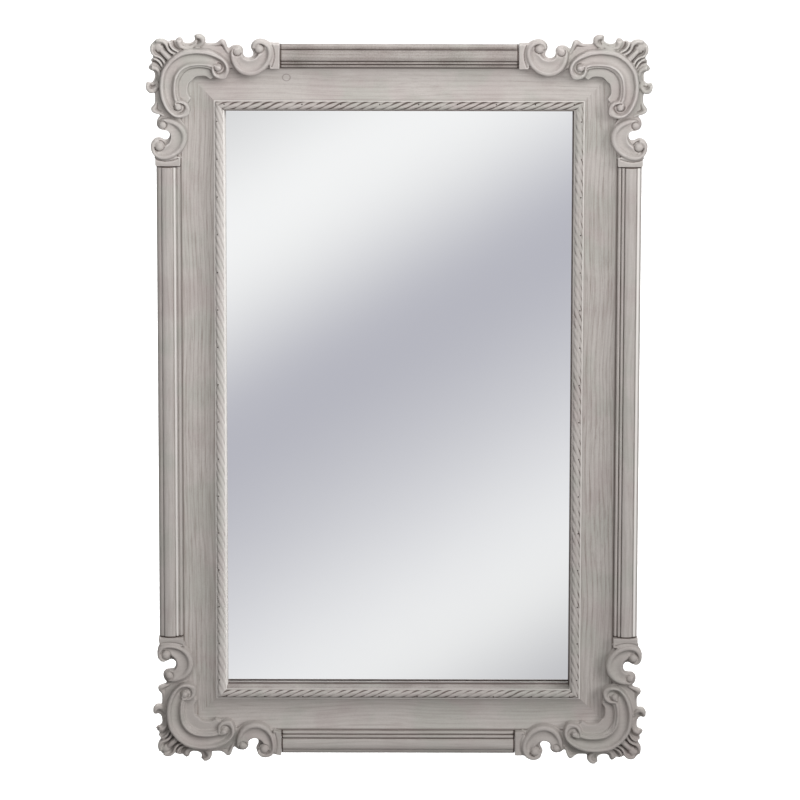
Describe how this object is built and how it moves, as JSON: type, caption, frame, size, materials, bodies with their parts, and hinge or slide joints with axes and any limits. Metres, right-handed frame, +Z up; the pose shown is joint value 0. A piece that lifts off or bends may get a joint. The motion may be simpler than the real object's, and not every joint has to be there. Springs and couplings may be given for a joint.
{
  "type": "wall mirror",
  "caption": "Portrait wall mirror in a limed wooden frame with reeded edges, carved scroll corners and a roped liner.",
  "frame": {"origin": "middle of the frame's back, on the back face of the backing board", "axes": "+Z up along the long side, +Y out of the back towards the wall, the front faces -Y, +X to the viewer's right"},
  "size_m": [0.6, 0.05, 0.9],
  "materials": {
    "limed_wood": "limewashed grey taupe, open grain, brown left in the grooves",
    "plain_wood": "planed, unfinished",
    "mirror_glass": "silvered float glass",
    "hardboard": "smooth brown hardboard",
    "zinc_steel": "bright zinc plate",
    "dark_steel": "dark annealed wire",
    "felt": "pressed felt"
  },
  "bodies": {
    "frame": {"top_rail": "limed_wood", "right_stile": "limed_wood", "bottom_rail": "limed_wood", "left_stile": "limed_wood", "top_rope_liner": "limed_wood", "top_reeded_strip": "limed_wood", "right_rope_liner": "limed_wood", "right_reeded_strip": "limed_wood", "bottom_rope_liner": "limed_wood", "bottom_reeded_strip": "limed_wood", "left_rope_liner": "limed_wood", "left_reeded_strip": "limed_wood", "upper_left_carving": "limed_wood", "upper_left_mitre_tongue": "plain_wood", "upper_right_carving": "limed_wood", "upper_right_mitre_tongue": "plain_wood", "lower_right_carving": "limed_wood", "lower_right_mitre_tongue": "plain_wood", "lower_left_carving": "limed_wood", "lower_left_mitre_tongue": "plain_wood", "mirror_glass": "mirror_glass", "backing_board": "hardboard", "backing_screws": "zinc_steel", "carving_screws": "zinc_steel", "rope_brads": "dark_steel", "left_hanger_strap": "zinc_steel", "right_hanger_strap": "zinc_steel", "hanger_screws": "zinc_steel", "upper_left_bumper": "felt", "upper_right_bumper": "felt", "lower_right_bumper": "felt", "lower_left_bumper": "felt"},
    "left_ring": {"left_hanger_ring": "zinc_steel"},
    "right_ring": {"right_hanger_ring": "zinc_steel"}
  },
  "joints": [
    {"name": "left_ring_swing", "type": "hinge", "parent": "frame", "child": "left_ring", "pos_m": [-0.2439, 0.0024, 0.2609], "axis": [-1, 0, 0], "range_deg": [0, 178]},
    {"name": "right_ring_swing", "type": "hinge", "parent": "frame", "child": "right_ring", "pos_m": [0.2439, 0.0024, 0.2609], "axis": [-1, 0, 0], "range_deg": [0, 178]}
  ]
}
